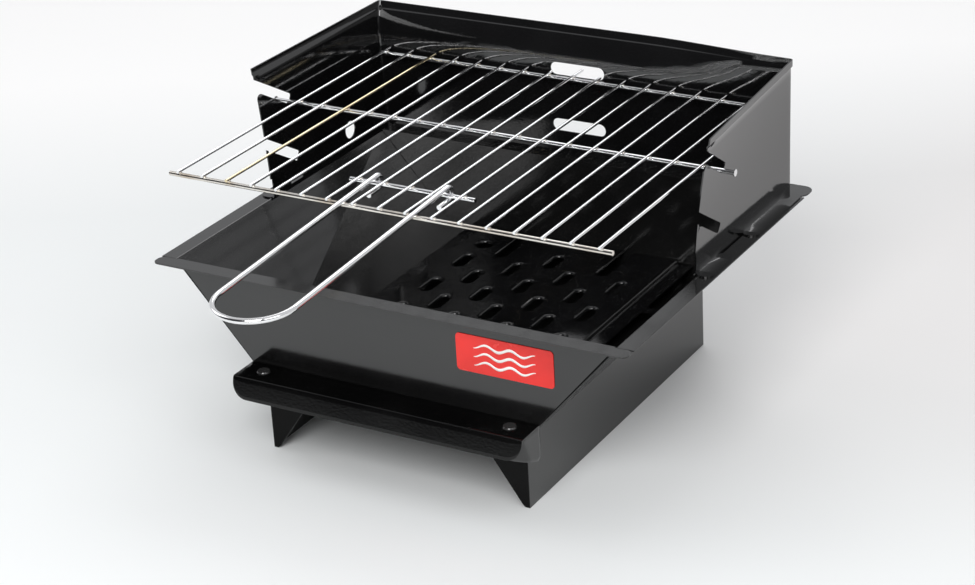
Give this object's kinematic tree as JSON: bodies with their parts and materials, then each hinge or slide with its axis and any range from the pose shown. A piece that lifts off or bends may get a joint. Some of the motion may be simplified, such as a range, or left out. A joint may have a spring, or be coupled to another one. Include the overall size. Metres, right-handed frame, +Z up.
{
  "type": "folding camp grill",
  "caption": "Tabletop charcoal grill in black sheet steel with sloping sides, a lift-off windshield, a slotted charcoal tray and a chromed wire grid with a folding wire handle.",
  "frame": {"origin": "on the floor, under the middle of the whole object's box", "axes": "+X to the right of a person in front of the grill, +Y from the handle to the rear panel, +Z up"},
  "size_m": [0.384, 0.4744, 0.2415],
  "materials": {
    "body_enamel": "satin",
    "shelf_enamel": "satin",
    "shield_enamel": "gloss",
    "tray_enamel": "gloss",
    "rivet_paint": "satin",
    "badge_red": "gloss",
    "chrome_wire": "polished"
  },
  "bodies": {
    "firebox": {"front_panel": "body_enamel", "rear_panel": "body_enamel", "left_side": "body_enamel", "right_side": "body_enamel", "firebox_floor": "body_enamel", "front_shelf": "shelf_enamel", "front_shelf_brackets": "shelf_enamel", "front_shelf_rivets": "rivet_paint", "badge": "badge_red"},
    "tray": {"charcoal_tray": "tray_enamel"},
    "windshield": {"windshield": "shield_enamel"},
    "grid": {"grid_front_rail": "chrome_wire", "grid_mid_rail": "chrome_wire", "grid_rear_rail": "chrome_wire", "grid_cross_rail": "chrome_wire", "grid_rod_1": "chrome_wire", "grid_rod_2": "chrome_wire", "grid_rod_3": "chrome_wire", "grid_rod_4": "chrome_wire", "grid_rod_5": "chrome_wire", "grid_rod_6": "chrome_wire", "grid_rod_7": "chrome_wire", "grid_rod_8": "chrome_wire", "grid_rod_9": "chrome_wire", "grid_rod_10": "chrome_wire", "grid_rod_11": "chrome_wire", "grid_rod_12": "chrome_wire", "grid_rod_13": "chrome_wire", "grid_rod_14": "chrome_wire", "grid_rod_15": "chrome_wire", "grid_rod_16": "chrome_wire", "grid_rod_17": "chrome_wire"},
    "handle": {"grid_handle": "chrome_wire"}
  },
  "joints": [
    {"name": "tray_lift", "type": "slide", "parent": "firebox", "child": "tray", "axis": [0, 0, 1], "range_m": [0, 0.08]},
    {"name": "windshield_lift", "type": "slide", "parent": "firebox", "child": "windshield", "axis": [0, 0, 1], "range_m": [0, 0.12]},
    {"name": "grid_slide", "type": "slide", "parent": "windshield", "child": "grid", "axis": [0, -0.8572, 0.515], "range_m": [0, 0.055]},
    {"name": "handle_fold", "type": "hinge", "parent": "grid", "child": "handle", "pos_m": [0, -0.01981, 0.204], "axis": [-1, 0, 0], "range_deg": [0, 176]}
  ]
}
